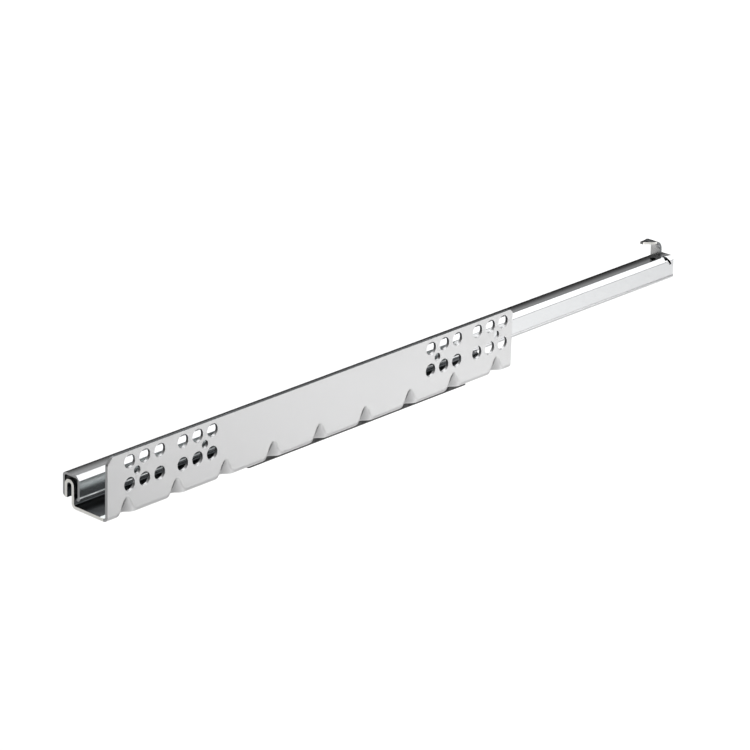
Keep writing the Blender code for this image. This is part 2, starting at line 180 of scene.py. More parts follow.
# ---------------------------------------------------------------- studio, m, W and degrees
MIDDLE_X = 0.07
CAMERA_PLACE = (-1.2450, -1.1812, 0.7068)
CAMERA_ANGLES = (47.33, 22.0, 1.57)  # azimuth, elevation, roll
CAMERA_LENS = 197.86
CAMERA_SENSOR = 36.0
FLOOR_Z = -0.30
FLOOR_R = 1.75
FLOOR_SHIFT = 0.35
FLOOR_GREY = 0.88
OVERHEAD_PLACE = (1.0, 1.1, 2.1)
OVERHEAD_SIZE = (2.8, 2.8)
OVERHEAD_POWER = 67.0
KEY_LOW_PLACE = (0.95, -0.92, 0.24)
KEY_LOW_SIZE = (1.5, 0.38)
KEY_LOW_POWER = 3.0
KEY_HIGH_PLACE = (1.05, -0.52, 0.90)
KEY_HIGH_SIZE = (1.4, 0.6)
KEY_HIGH_POWER = 6.6
POOL_PLACE = (0.62, -0.49, 0.12)
POOL_SIZE = (0.5, 0.4)
POOL_POWER = 1.05
POOL_SPREAD = 110.0
# Brightness of the surroundings by the sine of the angle above the horizon, and on the side of -Y.
WORLD_STOPS = ((0.27, 0.01), (0.305, 0.05), (0.33, 0.32), (0.345, 0.42), (0.40, 0.78), (0.5, 0.5), (1.0, 0.5))
WORLD_FRONT = 0.25
WORLD_FRONT_Y = (0.05, -0.35)


# ---------------------------------------------------------------- mesh helpers
def at(x, y, z):
    """Slide coordinates in mm to part coordinates in metres."""
    return Vector(((x - ORIGIN_X) / 1000.0, y / 1000.0, (z - ORIGIN_Z) / 1000.0))


def in_mm(point):
    """Part coordinates in metres to slide coordinates in mm."""
    return point.x * 1000.0 + ORIGIN_X, point.y * 1000.0, point.z * 1000.0 + ORIGIN_Z


def to_object(bm, name="tool"):
    """A bmesh as an object of the scene, its faces turned outwards."""
    bmesh.ops.recalc_face_normals(bm, faces=bm.faces)
    mesh = bpy.data.meshes.new(name)
    bm.to_mesh(mesh)
    bm.free()
    item = bpy.data.objects.new(name, mesh)
    bpy.context.scene.collection.objects.link(item)
    return item


def finished_mesh(item):
    """The mesh of an object with its modifiers, or of a curve with its thickness."""
    bpy.context.view_layer.update()
    graph = bpy.context.evaluated_depsgraph_get()
    return bpy.data.meshes.new_from_object(item.evaluated_get(graph))


def bake(item):
    """Replace an object's mesh by the result of its modifiers."""
    mesh = finished_mesh(item)
    item.modifiers.clear()
    item.data = mesh


def combine(item, tools, operation):
    """Cut (DIFFERENCE) or add (UNION) each tool, then throw the tools away."""
    for tool in tools:
        step = item.modifiers.new("step", "BOOLEAN")
        step.solver = "EXACT"
        step.operation = operation
        step.object = tool
        bake(item)
        bpy.data.objects.remove(tool, do_unlink=True)
    return item


def merged(tools):
    """Several tools as one mesh."""
    bm = bmesh.new()
    for tool in tools:
        bm.from_mesh(tool.data)
        bpy.data.objects.remove(tool, do_unlink=True)
    return to_object(bm)


def arc(cx, cy, radius, start, end, steps=10):
    """Points on an arc between two angles in degrees."""
    points = []
    for index in range(steps + 1):
        angle = math.radians(start + (end - start) * index / steps)
        points.append((cx + radius * math.cos(angle), cy + radius * math.sin(angle)))
    return points


def fillet_path(corners, radii, steps=10):
    """Open polyline with its inner corners rounded."""
    points = [Vector(corners[0])]
    for index in range(1, len(corners) - 1):
        corner = Vector(corners[index])
        before = (Vector(corners[index - 1]) - corner).normalized()
        after = (Vector(corners[index + 1]) - corner).normalized()
        half = before.angle(after) / 2.0
        radius = radii[index - 1]
        reach = radius / math.tan(half)
        centre = corner + (before + after).normalized() * (radius / math.sin(half))
        start = corner + before * reach - centre
        turn = (corner + after * reach - centre).angle_signed(start)
        for step in range(steps + 1):
            points.append(centre + Matrix.Rotation(turn * step / steps, 2) @ start)
    points.append(Vector(corners[-1]))
    return [(point.x, point.y) for point in points]


def prism(outline, low, high, along):
    """Outline in the other two axes (in x, y, z order) extruded along one axis."""
    bm = bmesh.new()
    place = {
        "x": lambda p, q, s: at(s, p, q),
        "y": lambda p, q, s: at(p, s, q),
        "z": lambda p, q, s: at(p, q, s),
    }[along]
    face = bm.faces.new([bm.verts.new(place(p, q, low)) for p, q in outline])
    grown = bmesh.ops.extrude_face_region(bm, geom=[face])
    rise = place(0.0, 0.0, high) - place(0.0, 0.0, low)
    verts = [part for part in grown["geom"] if isinstance(part, bmesh.types.BMVert)]
    bmesh.ops.translate(bm, verts=verts, vec=rise)
    return to_object(bm)


def box(x, y, z):
    """Block between two places on each axis."""
    return prism([(y[0], z[0]), (y[1], z[0]), (y[1], z[1]), (y[0], z[1])], x[0], x[1], "x")


def rod(centre, radius, low, high, along, steps=48):
    """Cylinder along one axis."""
    return prism(arc(*centre, radius, 0.0, 360.0, steps)[:-1], low, high, along)


def turned(profile, centre, along, steps=48):
    """Solid of revolution with flat ends; the profile is a list of (place along the axis, radius)."""
    bm = bmesh.new()
    rings = []
    for place, radius in profile:
        ring = []
        for index in range(steps):
            angle = 2.0 * math.pi * index / steps
            p, q = centre[0] + radius * math.cos(angle), centre[1] + radius * math.sin(angle)
            spot = {"x": (place, p, q), "y": (p, place, q), "z": (p, q, place)}[along]
            ring.append(bm.verts.new(at(*spot)))
        rings.append(ring)
    for first, second in zip(rings, rings[1:]):
        for index in range(steps):
            other = (index + 1) % steps
            bm.faces.new((first[index], first[other], second[other], second[index]))
    bm.faces.new(rings[0])
    bm.faces.new(rings[-1])
    return to_object(bm)


def skin(rows):
    """Open grid of points, one row per station."""
    bm = bmesh.new()
    made = [[bm.verts.new(point) for point in row] for row in rows]
    for first, second in zip(made, made[1:]):
        for index in range(len(first) - 1):
            bm.faces.new((first[index], first[index + 1], second[index + 1], second[index]))
    return to_object(bm)


def thicken(item, thickness):
    """Give an open skin the sheet's thickness, half to each side."""
    solid = item.modifiers.new("sheet", "SOLIDIFY")
    solid.thickness = thickness / 1000.0
    solid.offset = 0.0
    solid.use_even_offset = True
    bake(item)
    return item


def flatten(item, is_flat):
    """Join coplanar faces across the edges that is_flat picks by their two ends in mm."""
    bm = bmesh.new()
    bm.from_mesh(item.data)
    edges = [edge for edge in bm.edges if is_flat(*(in_mm(vert.co) for vert in edge.verts))]
    verts = list(dict.fromkeys(vert for edge in edges for vert in edge.verts))
    bmesh.ops.dissolve_limit(bm, angle_limit=math.radians(0.05), verts=verts, edges=edges)
    bm.to_mesh(item.data)
    bm.free()


def ease(item, width, segments=2, angle=50.0, smooth=30.0, material=-1):
    """Round the edges that turn by more than angle; shade smooth those that turn by less than smooth."""
    bm = bmesh.new()
    bm.from_mesh(item.data)
    bmesh.ops.remove_doubles(bm, verts=bm.verts, dist=2e-6)
    bmesh.ops.dissolve_degenerate(bm, dist=2e-6, edges=bm.edges)
    bm.to_mesh(item.data)
    bm.free()
    if width > 0.0:
        round_off = item.modifiers.new("edges", "BEVEL")
        round_off.width = width / 1000.0
        round_off.segments = segments
        round_off.limit_method = "ANGLE"
        round_off.angle_limit = math.radians(angle)
        round_off.use_clamp_overlap = True
        round_off.loop_slide = False
        round_off.material = material
        bake(item)
    item.data.shade_smooth()
    item.data.set_sharp_from_angle(angle=math.radians(smooth))
    even = item.modifiers.new("normals", "WEIGHTED_NORMAL")
    even.mode = "FACE_AREA"
    even.weight = 80
    even.keep_sharp = True
    bake(item)
    return item


def resample(points, count):
    """The same polyline with evenly spaced points."""
    lengths = [0.0]
    for first, second in zip(points, points[1:]):
        lengths.append(lengths[-1] + (Vector(second) - Vector(first)).length)
    made, segment = [], 0
    for index in range(count):
        target = lengths[-1] * index / (count - 1)
        while segment < len(points) - 2 and lengths[segment + 1] < target:
            segment += 1
        span = lengths[segment + 1] - lengths[segment]
        share = 0.0 if span < 1e-9 else (target - lengths[segment]) / span
        share = min(max(share, 0.0), 1.0)
        made.append(tuple(Vector(points[segment]).lerp(Vector(points[segment + 1]), share)))
    return made


# ---------------------------------------------------------------- materials
def grow(material):
    """Short names for building a node tree."""
    tree = material.node_tree
    tree.nodes.clear()

    def add(kind, **values):
        node = tree.nodes.new(kind)
        for key, value in values.items():
            setattr(node, key, value)
        return node

    return tree, add


def shader(name, base, roughness, spread, streaks, grain, bump, metallic=1.0, pressed=None):
    """A worn technical surface: clouds, streaks along the rolling direction and fine grain.

    base colour, varied by the share spread; (smoothest, roughest); scales of the streaks and of the
    grain per metre; depth of the relief in mm.
    pressed is (middle of the first dart, pitch, height, half width per height, darkest, lightest): painted
    shade on each dart, darker at its front side and light at its rear, as light falls on its two sides.
    """
    material = bpy.data.materials.new(name)
    material.use_nodes = True
    tree, add = grow(material)
    link = tree.links.new
    coords = add("ShaderNodeTexCoord")

    def noise(scale, detail, rough=0.5):
        mapping = add("ShaderNodeMapping")
        mapping.inputs["Scale"].default_value = scale
        link(coords.outputs["Object"], mapping.inputs["Vector"])
        texture = add("ShaderNodeTexNoise")
        texture.inputs["Scale"].default_value = 1.0
        texture.inputs["Detail"].default_value = detail
        texture.inputs["Roughness"].default_value = rough
        link(mapping.outputs["Vector"], texture.inputs["Vector"])
        return texture.outputs["Fac"]

    def ramp(source, low, high, out_low, out_high):
        node = add("ShaderNodeMapRange")
        node.inputs["From Min"].default_value = low
        node.inputs["From Max"].default_value = high
        node.inputs["To Min"].default_value = out_low
        node.inputs["To Max"].default_value = out_high
        link(source, node.inputs["Value"])
        return node.outputs["Result"]

    def maths(operation, first, second):
        node = add("ShaderNodeMath", operation=operation)
        for place, value in enumerate((first, second)):
            if isinstance(value, (int, float)):
                node.inputs[place].default_value = value
            else:
                link(value, node.inputs[place])
        return node.outputs["Value"]

    clouds = noise((45.0, 60.0, 60.0), 3.0)
    lines = noise(streaks, 4.0, 0.6)
    fine = noise((grain, grain, grain), 2.0)
    # The three patterns, in these shares, drive the colour and the roughness.
    mix_of = maths("ADD", maths("MULTIPLY", clouds, 0.35), maths("MULTIPLY", lines, 0.4))
    mix_of = maths("ADD", mix_of, maths("MULTIPLY", fine, 0.25))
    mix_low, mix_high = 0.3, 0.7

    tint = add("ShaderNodeValToRGB")
    tint.color_ramp.elements[0].position = mix_low
    tint.color_ramp.elements[1].position = mix_high
    tint.color_ramp.elements[0].color = (*(channel * (1.0 - spread) for channel in base), 1.0)
    tint.color_ramp.elements[1].color = (*(min(channel * (1.0 + spread), 1.0) for channel in base), 1.0)
    link(mix_of, tint.inputs["Fac"])

    colour = tint.outputs["Color"]
    if pressed:
        middle, pitch, tall, slope, darkest, lightest = pressed
        along = add("ShaderNodeSeparateXYZ")
        link(coords.outputs["Object"], along.inputs["Vector"])
        # Distance in m from the middle of the nearest dart, made a little uneven by the clouds.
        place = maths("ADD", along.outputs["X"], (ORIGIN_X - middle + pitch / 2) / 1000.0 + pitch / 100.0)
        place = maths("SUBTRACT", maths("MODULO", place, pitch / 1000.0), pitch / 2000.0)
        place = maths("ADD", place, maths("MULTIPLY", maths("SUBTRACT", clouds, 0.5), 0.002))
        # Half the dart's width at this height, and the painted shade from its front side to its rear side.
        reach = maths("SUBTRACT", (tall - ORIGIN_Z) / 1000.0, along.outputs["Z"])
        reach = maths("ADD", maths("MULTIPLY", reach, slope), 0.0008)
        shade = ramp(maths("DIVIDE", place, reach), -0.35, 0.8, darkest, lightest)
        # The painted shade shows only on what leans downwards, and fades away from the dart.
        facing = add("ShaderNodeSeparateXYZ")
        link(add("ShaderNodeNewGeometry").outputs["Normal"], facing.inputs["Vector"])
        tilt = ramp(facing.outputs["Z"], -0.02, -0.3, 0.0, 1.0)
        tilt = maths("MULTIPLY", tilt, ramp(maths("ABSOLUTE", place, 0.0), 0.0040, 0.0062, 1.0, 0.0))
        shade = maths("ADD", maths("MULTIPLY", maths("SUBTRACT", shade, 1.0), tilt), 1.0)
        scaled = add("ShaderNodeVectorMath", operation="SCALE")
        link(colour, scaled.inputs["Vector"])
        link(shade, scaled.inputs["Scale"])
        colour = scaled.outputs["Vector"]

    bsdf = add("ShaderNodeBsdfPrincipled")
    bsdf.inputs["Metallic"].default_value = metallic
    link(colour, bsdf.inputs["Base Color"])
    link(ramp(mix_of, mix_low, mix_high, *roughness), bsdf.inputs["Roughness"])

    height = maths("ADD", maths("MULTIPLY", lines, 0.6), maths("MULTIPLY", fine, 0.4))
    relief = add("ShaderNodeBump")
    relief.inputs["Strength"].default_value = 0.5
    relief.inputs["Distance"].default_value = bump / 1000.0
    link(height, relief.inputs["Height"])
    link(relief.outputs["Normal"], bsdf.inputs["Normal"])
    output = add("ShaderNodeOutputMaterial")
    link(bsdf.outputs["BSDF"], output.inputs["Surface"])
    return material


def moulding(name, *look):
    """A plastic surface."""
    return shader(name, *look, metallic=0.0)


ZINC_BASE = (0.386, 0.386, 0.388)
ZINC = shader("zinc_sheet", ZINC_BASE, (0.15, 0.22), 0.03, (14.0, 420.0, 420.0), 2600.0, 0.002)
# Zinc of the darts with painted shade: dark on each dart's front side, light on its rear side.
DART_PAINTED_SHADE = shader(
    "dart_zinc_painted_shade", ZINC_BASE, (0.18, 0.26), 0.05, (60.0, 420.0, 160.0), 2600.0, 0.004,
    pressed=(DART_FIRST_X, DART_PITCH, DART_HEIGHT + 1.2, 0.52, 0.28, 1.75),
)
RAIL_ZINC = shader("zinc_rail", (0.415, 0.42, 0.426), (0.10, 0.15), 0.03, (10.0, 420.0, 420.0), 2600.0, 0.0015)
# Sheared edges in two copies: a bright cream one with painted light where an edge faces the light, a dark one
# with painted shade where it lies in shade.
SHEARED_PAINTED_LIGHT = shader("sheared_edge_painted_light", (0.80, 0.79, 0.755), (0.36, 0.5), 0.12, (900.0, 900.0, 90.0), 3200.0, 0.015)
SHEARED_PAINTED_SHADE = shader("cut_edge_painted_shade", (0.36, 0.362, 0.365), (0.3, 0.44), 0.12, (900.0, 900.0, 90.0), 3200.0, 0.015)
# Painted shade: a near-black zinc for faces in hollows, on inner sides and under tops, and a dark line along
# the flange's top edge.
PAINTED_SHADE_ZINC = shader("zinc_painted_shade", (0.12, 0.126, 0.132), (0.18, 0.3), 0.2, (30.0, 240.0, 240.0), 2200.0, 0.006)
# Painted light: the flange's inner face and bend get a lighter zinc than the outside, as if lit from above.
INNER_PAINTED_LIGHT = shader("inner_zinc_painted_light", (0.68, 0.71, 0.71), (0.42, 0.54), 0.06, (14.0, 300.0, 300.0), 2600.0, 0.006)
WORN = shader("rubbed_edge", (0.60, 0.61, 0.62), (0.18, 0.28), 0.05, (200.0, 500.0, 500.0), 2600.0, 0.004)
TONGUE = shader("blanked_tongue", (0.42, 0.42, 0.418), (0.2, 0.32), 0.16, (700.0, 700.0, 700.0), 2600.0, 0.01)
BLACK = moulding(
    "black_moulding", (0.014, 0.014, 0.015), (0.34, 0.52), 0.25, (400.0, 400.0, 400.0), 5200.0, 0.02
)
PAWL = moulding("dark_acetal", (0.03, 0.031, 0.033), (0.28, 0.42), 0.2, (350.0, 350.0, 350.0), 4600.0, 0.012)
CAGE = moulding("cage_moulding", (0.36, 0.355, 0.33), (0.38, 0.52), 0.08, (260.0, 420.0, 420.0), 4600.0, 0.015)
GREY = moulding("grey_moulding", (0.34, 0.35, 0.365), (0.34, 0.5), 0.08, (380.0, 380.0, 380.0), 4800.0, 0.015)
BALLS = shader("ball_steel", (0.74, 0.745, 0.76), (0.05, 0.13), 0.04, (900.0, 900.0, 900.0), 5200.0, 0.001)
PINS = shader("drawn_steel", (0.60, 0.60, 0.61), (0.16, 0.28), 0.07, (120.0, 1400.0, 1400.0), 3600.0, 0.003)
TURNED = shader("turned_pin", (0.62, 0.62, 0.63), (0.14, 0.26), 0.07, (1400.0, 160.0, 1400.0), 3600.0, 0.003)


def dress(item, name, body, replaced, materials):
    """Name a finished piece, give it its materials and its place in the frame."""
    item.name = name
    item.data.name = name
    while len(item.data.materials) < len(materials):
        item.data.materials.append(None)
    for index, material in enumerate(materials):
        item.data.materials[index] = material
    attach(item, body)
    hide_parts(*replaced)
    return item


def mark(item, place_at):
    """Pick each face's material by its middle in mm and its normal. Rounded edges keep the one they have."""
    for face in item.data.polygons:
        if face.material_index == PLAIN:
            face.material_index = place_at(*in_mm(face.center), face.normal)


# ---------------------------------------------------------------- cabinet rail
def dart_distance(x):
    """Distance along the rail to the middle of the nearest pressed dart."""
    return min(abs(x - DART_FIRST_X - DART_PITCH * index) for index in range(DART_COUNT))


def dart_reach(distance):
    """How far a dart's surface stands out from its deepest line, at a distance from its middle."""
    lean = math.radians(DART_HALF_ANGLE)
    edge = DART_NOSE_R * math.cos(lean)
    if distance <= edge:
        return DART_NOSE_R - math.sqrt(DART_NOSE_R**2 - distance * distance)
    return DART_NOSE_R * (1.0 - math.sin(lean)) + (distance - edge) / math.tan(lean)


def lower_section(x):
    """Middle of the sheet from the flange through the bend to the floor, pressed in at the darts."""
    half = SHEET / 2.0
    run = Vector((-DART_DEPTH, DART_HEIGHT)).normalized()
    out = Vector((-run.y, run.x))
    full = out.dot(Vector((half + BEND_R, half + BEND_R))) + BEND_R
    level = out.dot(Vector((DART_DEPTH, 0.0))) + dart_reach(dart_distance(x)) - half
    gap = full - level
    if gap < -DART_BLEND:
        level = full
    elif gap <= DART_BLEND:
        level = full - (gap + DART_BLEND) ** 2 / (4.0 * DART_BLEND)
    level = min(level, full)
    centre_1 = (half + BEND_R, (level - BEND_R - out.x * (half + BEND_R)) / out.y)
    centre_2 = ((level - BEND_R - out.y * (half + BEND_R)) / out.x, half + BEND_R)
    lean = math.degrees(math.atan2(-out.y, -out.x))
    points = [(half, FLANGE_FLAT_Z)]
    points += arc(*centre_1, BEND_R, 180.0, 180.0 + lean, 6)
    points += arc(*centre_2, BEND_R, 180.0 + lean, 270.0, 12)
    points.append((FLOOR_FLAT_Y, half))
    return resample(points, 64)


def in_dart(x, y, z):
    """True on the outside of a pressed dart, false on the bend between two of them."""
    centre = BEND_R + SHEET / 2.0
    if dart_distance(x) > DART_MARK_HALF:
        return False
    return y > 0.005 if z > centre else math.hypot(y - centre, z - centre) < centre - 0.005


def flange_hole(x, z, radius, steps):
    """Tool for a punched hole through the flange, its two edges rounded."""
    wide = radius + HOLE_EASE
    mouth = [(-0.1, wide + 0.5)] + arc(HOLE_EASE, wide, HOLE_EASE, 180.0, 270.0, 4)[1:]
    back = [(SHEET - place, size) for place, size in reversed(mouth)]
    return turned(mouth + back, (x, z), "y", steps)


def corner_tool(x, side, size, radius):
    """Tool that takes a corner off the flange's top, its two new corners rounded."""
    top, inward = FLANGE_HEIGHT, x - side * size
    outline = fillet_path(
        [(x, top - size - 1.0), (x, top - size), (inward, top), (inward - side, top)], [radius, radius], 8
    )
    outline = [(x + side, top - size - 1.0)] + outline + [(inward - side, top + 1.0), (x + side, top + 1.0)]
    return prism(outline, -1.0, SHEET + 1.0, "y")


def rail_openings():
    """Tools for all that is punched out of the cabinet rail, as one mesh."""
    tools = []
    for cluster in (0.0, HOLE_CLUSTER_PITCH):
        for row in HOLE_ROWS_Z:
            for offset in HOLE_OFFSETS:
                tools.append(flange_hole(HOLE_FIRST_X + cluster + offset, row, HOLE_R, 48))
        for offset in PILOT_OFFSETS:
            tools.append(flange_hole(HOLE_FIRST_X + cluster + offset, sum(HOLE_ROWS_Z) / 2, PILOT_R, 36))
    slot_x = (TAB_X - SLOT_END - CATCH_TRAVEL, TAB_X + SLOT_END)
    tools.append(box(slot_x, (PAWL_Y[0] - 0.4, PAWL_Y[1] + 0.4), (-1.0, SHEET + 0.6)))
    for x in POST_X:
        tools.append(rod((x, POST_Y), POST_R + GAP, -1.0, SHEET + 0.6, "z"))
    for corner in FLANGE_CORNERS:
        tools.append(corner_tool(*corner))
    return merged(tools)


def cabinet_rail():
    """The bent cabinet rail with its openings, and a place in the list of materials for every face."""
    half = SHEET / 2.0
    rest = fillet_path([(FLOOR_FLAT_Y, half), (TRACK_WALL_Y, half), (TRACK_WALL_Y, 8.0)], [BEND_R])[1:-1]
    rest += arc(TRACK_Y, TRACK_CENTRE_Z, TRACK_R, 180.0, 0.0, 20)
    rest.append((TRACK_Y + TRACK_R, TRACK_LEG_BOTTOM))
    stations = {0.0, FLANGE_LENGTH}
    for index in range(DART_COUNT):
        middle = DART_FIRST_X + DART_PITCH * index
        stations |= {round(middle + step * DART_STEP, 4) for step in range(-DART_STEPS, DART_STEPS + 1)}
    rows = []
    for x in sorted(spot for spot in stations if 0.0 <= spot <= FLANGE_LENGTH):
        section = [(half, FLANGE_HEIGHT)] + lower_section(x) + rest
        rows.append([at(x, p, q) for p, q in section])
    rail = thicken(skin(rows), SHEET)
    combine(rail, [rail_openings()], "DIFFERENCE")

    def is_flat(first, second):
        xs, ys, zs = zip(first, second)
        flange = min(zs) > FLANGE_FLAT_Z - 0.05 and max(zs) > FLANGE_FLAT_Z + 0.1
        bend_y = TRACK_WALL_Y - BEND_R
        floor = min(ys) > FLOOR_FLAT_Y - 0.05 and FLOOR_FLAT_Y + 0.1 < max(ys) < bend_y + 0.1
        floor = floor and max(zs) < SHEET + 0.01
        end = max(xs) < 0.01 or min(xs) > FLANGE_LENGTH - 0.01
        past_bend = min(ys) > 3.0 or max(ys) < SHEET + 0.01 and min(zs) > 3.0
        return flange or floor or end and past_bend

    flatten(rail, is_flat)
    ease(rail, 0.14, angle=55.0, smooth=28.0, material=RUBBED)

    def place_at(x, y, z, normal):
        # Cut ends: painted light on the trough's and track's, painted shade on the flange's.
        if abs(normal.x) > 0.7 and (x < 0.3 or x > FLANGE_LENGTH - 0.3):
            return CUT_PAINTED_LIGHT if y > 3.0 else CUT_PAINTED_SHADE
        # Painted shade: a dark line along the flange's top edge.
        if z > FLANGE_HEIGHT - 0.3 and normal.z > 0.5:
            return PAINTED_SHADE
        # Flange: hole walls get the cut edge with painted shade, the inner face painted light.
        if y < SHEET and z > FLANGE_FLAT_Z + 0.1:
            if 0.1 < abs(normal.y) < 0.99:
                return RUBBED
            return CUT_PAINTED_SHADE if abs(normal.y) < 0.5 else (INNER if normal.y > 0.9 else PLAIN)
        # Trough floor: painted shade on its top face and on the walls of its openings.
        if z < SHEET + 0.01 and 5.0 < y < 20.5:
            return CUT_PAINTED_SHADE if abs(normal.z) < 0.3 else (PAINTED_SHADE if normal.z > 0.3 else PLAIN)
        # Painted light on the bottom edge of the track's leg.
        if y > TRACK_Y and z < TRACK_LEG_BOTTOM + 0.2 and normal.z < -0.7:
            return CUT_PAINTED_LIGHT
        # Painted shade on the darts' outer faces.
        if y < 6.5 and z < DART_HEIGHT + 1.5 and normal.y < -0.3 and in_dart(x, y, z):
            return DARTED
        # Painted shade in the track's hollow and behind the drawer rail's lips.
        behind = y > 20.0 and z < 6.0 and normal.y < -0.5
        hollow = y > TRACK_WALL_Y and z < TRACK_CENTRE_Z + TRACK_R and (y - TRACK_Y) * normal.y < 0.0
        if behind or hollow:
            return PAINTED_SHADE
        # Painted light on the inner faces of the flange and bend.
        return INNER if y < 8.0 and (normal.y > 0.3 or normal.z > 0.3) and z > 0.9 else PLAIN

    mark(rail, place_at)
    return rail


# ---------------------------------------------------------------- drawer rail
def hook_tongue():
    """Tongue that stands on the rail's top, bends forward and narrows to its tip."""
    tip_x, tip_y, tip_z = HOOK_TIP
    path = fillet_path(
        [(HOOK_X, RAIL_TOP_Z), (HOOK_X, HOOK_TOP_Z), (tip_x + 4.0, HOOK_TOP_Z), (tip_x, tip_z)],
        [HOOK_BEND_R, 6.0],
        14,
    )
    tongue = thicken(skin([[at(p, s, q) for p, q in path] for s in HOOK_Y]), RAIL_SHEET)
    tools = []
    for side, edge in ((-1, HOOK_Y[0]), (1, HOOK_Y[1])):
        outline = [
            (HOOK_X - HOOK_BEND_R, edge),
            (HOOK_X - HOOK_BEND_R, edge + side * 2.0),
            (tip_x - 2.0, edge + side * 2.0),
            (tip_x - 2.0, tip_y + side * HOOK_TIP_HALF),
            (tip_x + 1.0, tip_y + side * HOOK_TIP_HALF),
        ]
        tools.append(prism(outline, HOOK_TOP_Z - 4.0, HOOK_TOP_Z + 2.0, "z"))
    combine(tongue, [merged(tools)], "DIFFERENCE")
    # The tongue's foot widens towards the near side, where it leaves the rail's top.
    low, near = RAIL_TOP_Z, HOOK_Y[0]
    flare = [(near - 1.2, low), (near + 1.0, low), (near + 1.0, low + 5.0), (near + 0.05, low + 4.0)]
    flare += [(near - 0.08, low + 3.0), (near - 0.3, low + 1.9), (near - 0.7, low + 0.9)]
    half = RAIL_SHEET / 2
    return combine(tongue, [prism(flare, HOOK_X - half, HOOK_X + half, "x")], "UNION")


def drawer_rail():
    """The drawer rail with its hook and cuts, and a place in the list of materials for every face."""
    half = RAIL_SHEET / 2.0
    near, far, top, low = RAIL_NEAR_Y - half, RAIL_FAR_Y + half, RAIL_TOP_Z + half, RAIL_LIP_Z - half
    lips, thick = RAIL_LIP_Y, RAIL_SHEET
    foot, shoulder = near - RAIL_BEAD, low + 1.5
    outer = fillet_path(
        [
            (lips[0], low),
            (foot, low),
            (foot, shoulder),
            (near, shoulder + RAIL_BEAD * 1.2),
            (near, top - RAIL_CHAMFER),
            (near + RAIL_CHAMFER, top),
            (far - RAIL_FALL_WIDTH, top),
            (far, top - RAIL_FALL),
            (far, low),
            (lips[1], low),
        ],
        [RAIL_LIP_R + half, 0.3, 0.5, 0.5, 0.6, RAIL_FALL_R, RAIL_FAR_CORNER, RAIL_LIP_R + half],
        14,
    )
    inner = fillet_path(
        [
            (lips[0], low + thick),
            (near + thick, low + thick),
            (near + thick, top - thick),
            (far - thick, top - thick),
            (far - thick, low + thick),
            (lips[1], low + thick),
        ],
        [RAIL_LIP_R - half, RAIL_CORNER_R - half, RAIL_CORNER_R - half, RAIL_LIP_R - half],
    )
    rail = prism(outer + inner[::-1], *RAIL_X, "x")
    combine(rail, [hook_tongue()], "UNION")
    relief = prism(RELIEF, 13.0, 17.0, "z")
    slit = prism(SLIT, 17.0, 20.6, "y")
    over = prism(SLIT_OVER_TOP, 14.0, 17.0, "z")
    rivet = rod((TAB_X, RIVET_Z), RIVET_R + GAP, 17.0, 20.6, "y", 32)
    combine(rail, [merged([relief, rivet]), slit, over], "DIFFERENCE")
    ease(rail, 0.12, angle=55.0, smooth=28.0, material=RUBBED)

    def place_at(x, y, z, normal):
        # Cut ends of the rail with painted shade.
        if abs(normal.x) > 0.7 and (x < RAIL_X[0] + 0.3 or x > RAIL_X[1] - 0.3):
            return CUT_PAINTED_SHADE
        # Hook: painted light on the front part of its sides, painted shade on their rear part and on its top.
        if z > RAIL_TOP_Z + 1.0:
            if abs(normal.y) > 0.7:
                return CUT_PAINTED_LIGHT if x < HOOK_X - 3.5 else PAINTED_SHADE
            return PAINTED_SHADE if normal.z > 0.6 else INNER
        middle = (RAIL_NEAR_Y + RAIL_FAR_Y) / 2
        # Painted shade on the inner faces and under the top.
        if z < RAIL_TOP_Z and ((y - middle) * normal.y < -0.1 or normal.z < -0.5 and z > 10.0):
            return PAINTED_SHADE
        # Painted shade on the faces around the hook's foot at the rear.
        if z > 11.0 and x > 386.0 and (abs(normal.x) > 0.4 or abs(normal.y) > 0.9 and y > 19.6):
            return PAINTED_SHADE
        # Painted light on the cut faces of the lips.
        return CUT_PAINTED_LIGHT if z < 5.2 and abs(normal.y) > 0.8 and 20.4 < y < 27.8 else PLAIN

    mark(rail, place_at)
    return rail


# ---------------------------------------------------------------- cage, balls, stops
def guide_outline():
    """Section between the ball track and the inside of the drawer rail, clear of both."""
    outer_r = RAIL_CORNER_R - RAIL_SHEET / 2 + 0.2
    near = RAIL_NEAR_Y + RAIL_SHEET / 2 + GAP
    far = RAIL_FAR_Y - RAIL_SHEET / 2 - GAP
    top = RAIL_TOP_Z - RAIL_SHEET / 2 - GAP
    inner_r = TRACK_R + SHEET / 2 + GAP
    outline = [(near, CAGE_LEG_BOTTOM)]
    outline += arc(near + outer_r, top - outer_r, outer_r, 180.0, 90.0)
    outline += arc(far - outer_r, top - outer_r, outer_r, 90.0, 0.0)
    outline += [(far, CAGE_LEG_BOTTOM), (TRACK_Y + inner_r, CAGE_LEG_BOTTOM)]
    outline += arc(TRACK_Y, TRACK_CENTRE_Z, inner_r, 0.0, 180.0, 20)
    outline += [(TRACK_Y - inner_r, CAGE_LEG_BOTTOM)]
    return outline


